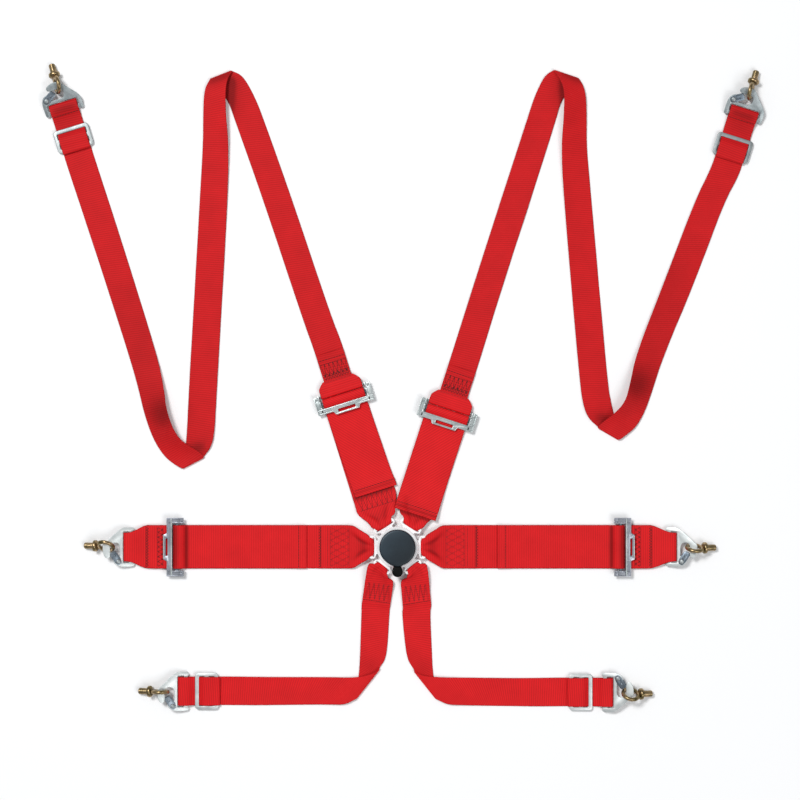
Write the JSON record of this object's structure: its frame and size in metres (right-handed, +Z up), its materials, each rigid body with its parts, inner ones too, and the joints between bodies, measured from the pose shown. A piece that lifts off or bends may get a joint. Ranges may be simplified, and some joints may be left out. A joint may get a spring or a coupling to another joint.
{
  "type": "racing harness",
  "caption": "Racing harness with a rotary cam-lock buckle, wide lap and shoulder webbing, tilt-lock adjusters, three-bar slides, snap hooks and eyebolts, laid out flat",
  "frame": {"origin": "centre of the smooth back face of the buckle, which lies on the floor", "axes": "+X towards the right-hand lap strap of the laid-out harness, +Y towards the shoulder straps, +Z up from the floor"},
  "size_m": [1.2603, 1.133, 0.0346],
  "materials": {
    "webbing": "woven polyester, satin ribs",
    "zinc": "bright zinc plated steel",
    "dark_steel": "dark passivated steel",
    "yellow_zinc": "yellow passivated steel",
    "knob": "slate anodised, satin"
  },
  "bodies": {
    "buckle": {"buckle_base": "zinc", "buckle_housing": "zinc", "buckle_return_spring": "dark_steel", "lap_left_tongue": "zinc", "lap_left_main_strap": "webbing", "lap_left_end_strap": "webbing"},
    "knob": {"buckle_knob": "knob", "buckle_thumb_tab": "knob", "buckle_cam": "dark_steel"},
    "shoulder_left": {"shoulder_left_tongue": "zinc", "shoulder_left_lower_strap": "webbing", "shoulder_left_loop_piece": "webbing", "shoulder_left_upper_strap": "webbing", "shoulder_left_slide": "zinc"},
    "shoulder_right": {"shoulder_right_tongue": "zinc", "shoulder_right_lower_strap": "webbing", "shoulder_right_loop_piece": "webbing", "shoulder_right_upper_strap": "webbing", "shoulder_right_slide": "zinc"},
    "lap_right": {"lap_right_tongue": "zinc", "lap_right_main_strap": "webbing", "lap_right_end_strap": "webbing"},
    "leg_left": {"leg_left_tongue": "zinc", "leg_left_strap": "webbing", "leg_left_slide": "zinc"},
    "leg_right": {"leg_right_tongue": "zinc", "leg_right_strap": "webbing", "leg_right_slide": "zinc"},
    "shoulder_left_adjuster": {"shoulder_left_adjuster_frame": "zinc", "shoulder_left_adjuster_bar": "dark_steel"},
    "shoulder_right_adjuster": {"shoulder_right_adjuster_frame": "zinc", "shoulder_right_adjuster_bar": "dark_steel"},
    "lap_left_adjuster": {"lap_left_adjuster_frame": "zinc", "lap_left_adjuster_bar": "dark_steel"},
    "lap_right_adjuster": {"lap_right_adjuster_frame": "zinc", "lap_right_adjuster_bar": "dark_steel"},
    "shoulder_left_hook": {"shoulder_left_bracket": "zinc", "shoulder_left_rivet": "zinc"},
    "shoulder_left_gate": {"shoulder_left_gate": "dark_steel"},
    "shoulder_left_eyebolt": {"shoulder_left_eyebolt": "yellow_zinc"},
    "shoulder_right_hook": {"shoulder_right_bracket": "zinc", "shoulder_right_rivet": "zinc"},
    "shoulder_right_gate": {"shoulder_right_gate": "dark_steel"},
    "shoulder_right_eyebolt": {"shoulder_right_eyebolt": "yellow_zinc"},
    "lap_left_hook": {"lap_left_bracket": "zinc", "lap_left_rivet": "zinc"},
    "lap_left_gate": {"lap_left_gate": "dark_steel"},
    "lap_left_eyebolt": {"lap_left_eyebolt": "yellow_zinc"},
    "lap_right_hook": {"lap_right_bracket": "zinc", "lap_right_rivet": "zinc"},
    "lap_right_gate": {"lap_right_gate": "dark_steel"},
    "lap_right_eyebolt": {"lap_right_eyebolt": "yellow_zinc"},
    "leg_left_hook": {"leg_left_bracket": "zinc", "leg_left_rivet": "zinc"},
    "leg_left_gate": {"leg_left_gate": "dark_steel"},
    "leg_left_eyebolt": {"leg_left_eyebolt": "yellow_zinc"},
    "leg_right_hook": {"leg_right_bracket": "zinc", "leg_right_rivet": "zinc"},
    "leg_right_gate": {"leg_right_gate": "dark_steel"},
    "leg_right_eyebolt": {"leg_right_eyebolt": "yellow_zinc"}
  },
  "joints": [
    {"name": "knob_turn", "type": "hinge", "parent": "buckle", "child": "knob", "pos_m": [0, 0, 0.028], "axis": [0, 0, 1], "range_deg": [0, 35], "stiffness_Nm_per_rad": 0.05},
    {"name": "shoulder_left_release", "type": "slide", "parent": "buckle", "child": "shoulder_left", "axis": [-0.5299, 0.848, 0], "range_m": [0, 0.03]},
    {"name": "shoulder_right_release", "type": "slide", "parent": "buckle", "child": "shoulder_right", "axis": [0.5299, 0.848, 0], "range_m": [0, 0.03]},
    {"name": "lap_right_release", "type": "slide", "parent": "buckle", "child": "lap_right", "axis": [1, 0, 0], "range_m": [0, 0.03]},
    {"name": "leg_left_release", "type": "slide", "parent": "buckle", "child": "leg_left", "axis": [-0.6157, -0.788, 0], "range_m": [0, 0.03]},
    {"name": "leg_right_release", "type": "slide", "parent": "buckle", "child": "leg_right", "axis": [0.6157, -0.788, 0], "range_m": [0, 0.03]},
    {"name": "shoulder_left_tilt", "type": "hinge", "parent": "shoulder_left", "child": "shoulder_left_adjuster", "pos_m": [-0.09764, 0.2728, 0.0046], "axis": [-0.9542, -0.299, 0], "range_deg": [0, 11]},
    {"name": "shoulder_right_tilt", "type": "hinge", "parent": "shoulder_right", "child": "shoulder_right_adjuster", "pos_m": [0.09112, 0.24444, 0.0046], "axis": [-0.9511, 0.309, 0], "range_deg": [0, 11]},
    {"name": "lap_left_tilt", "type": "hinge", "parent": "buckle", "child": "lap_left_adjuster", "pos_m": [-0.398, 0, 0.0046], "axis": [0, 1, 0], "range_deg": [0, 11]},
    {"name": "lap_right_tilt", "type": "hinge", "parent": "lap_right", "child": "lap_right_adjuster", "pos_m": [0.403, 0, 0.0046], "axis": [0, -1, 0], "range_deg": [0, 11]},
    {"name": "shoulder_left_hook_swing", "type": "hinge", "parent": "shoulder_left", "child": "shoulder_left_hook", "pos_m": [-0.5817, 0.7638, 0.0056], "axis": [0.9563, 0.2924, 0], "range_deg": [0, 50]},
    {"name": "shoulder_left_gate_open", "type": "hinge", "parent": "shoulder_left_hook", "child": "shoulder_left_gate", "pos_m": [-0.61221, 0.77809, 0.01208], "axis": [-0.0806, 0.2636, -0.9613], "range_deg": [0, 32], "stiffness_Nm_per_rad": 0.02},
    {"name": "shoulder_left_eyebolt_swing", "type": "hinge", "parent": "shoulder_left_hook", "child": "shoulder_left_eyebolt", "pos_m": [-0.58942, 0.7935, 0.01439], "axis": [0, 0, 1], "range_deg": [-25, 25]},
    {"name": "shoulder_right_hook_swing", "type": "hinge", "parent": "shoulder_right", "child": "shoulder_right_hook", "pos_m": [0.6034, 0.7526, 0.0056], "axis": [0.9537, -0.3007, 0], "range_deg": [0, 50]},
    {"name": "shoulder_right_gate_open", "type": "hinge", "parent": "shoulder_right_hook", "child": "shoulder_right_gate", "pos_m": [0.58635, 0.78166, 0.01208], "axis": [0.0829, 0.2629, -0.9613], "range_deg": [0, 32], "stiffness_Nm_per_rad": 0.02},
    {"name": "shoulder_right_eyebolt_swing", "type": "hinge", "parent": "shoulder_right_hook", "child": "shoulder_right_eyebolt", "pos_m": [0.61169, 0.78214, 0.01439], "axis": [0, 0, 1], "range_deg": [-25, 25]},
    {"name": "lap_left_hook_swing", "type": "hinge", "parent": "buckle", "child": "lap_left_hook", "pos_m": [-0.4646, 0, 0.0056], "axis": [0, 1, 0], "range_deg": [0, 50]},
    {"name": "lap_left_gate_open", "type": "hinge", "parent": "lap_left_hook", "child": "lap_left_gate", "pos_m": [-0.48719, -0.025, 0.01208], "axis": [-0.2756, 0, -0.9613], "range_deg": [0, 32], "stiffness_Nm_per_rad": 0.02},
    {"name": "lap_left_eyebolt_swing", "type": "hinge", "parent": "lap_left_hook", "child": "lap_left_eyebolt", "pos_m": [-0.49526, 0.00221, 0.01439], "axis": [0, 0, 1], "range_deg": [-20, 8]},
    {"name": "lap_right_hook_swing", "type": "hinge", "parent": "lap_right", "child": "lap_right_hook", "pos_m": [0.4736, 0, 0.0056], "axis": [0, -1, 0], "range_deg": [0, 50]},
    {"name": "lap_right_gate_open", "type": "hinge", "parent": "lap_right_hook", "child": "lap_right_gate", "pos_m": [0.49619, -0.025, 0.01208], "axis": [-0.2756, 0, 0.9613], "range_deg": [0, 32], "stiffness_Nm_per_rad": 0.02},
    {"name": "lap_right_eyebolt_swing", "type": "hinge", "parent": "lap_right_hook", "child": "lap_right_eyebolt", "pos_m": [0.50426, -0.0013, 0.01439], "axis": [0, 0, 1], "range_deg": [-25, 25]},
    {"name": "leg_left_hook_swing", "type": "hinge", "parent": "leg_left", "child": "leg_left_hook", "pos_m": [-0.3696, -0.252, 0.0056], "axis": [0, 1, 0], "range_deg": [0, 50]},
    {"name": "leg_left_gate_open", "type": "hinge", "parent": "leg_left_hook", "child": "leg_left_gate", "pos_m": [-0.39219, -0.277, 0.01208], "axis": [-0.2756, 0, -0.9613], "range_deg": [0, 32], "stiffness_Nm_per_rad": 0.02},
    {"name": "leg_left_eyebolt_swing", "type": "hinge", "parent": "leg_left_hook", "child": "leg_left_eyebolt", "pos_m": [-0.40026, -0.25181, 0.01439], "axis": [0, 0, 1], "range_deg": [-25, 25]},
    {"name": "leg_right_hook_swing", "type": "hinge", "parent": "leg_right", "child": "leg_right_hook", "pos_m": [0.3626, -0.254, 0.0056], "axis": [0, -1, 0], "range_deg": [0, 50]},
    {"name": "leg_right_gate_open", "type": "hinge", "parent": "leg_right_hook", "child": "leg_right_gate", "pos_m": [0.38519, -0.229, 0.01208], "axis": [0.2756, 0, -0.9613], "range_deg": [0, 32], "stiffness_Nm_per_rad": 0.02},
    {"name": "leg_right_eyebolt_swing", "type": "hinge", "parent": "leg_right_hook", "child": "leg_right_eyebolt", "pos_m": [0.39326, -0.25621, 0.01439], "axis": [0, 0, 1], "range_deg": [-20, 8]}
  ]
}
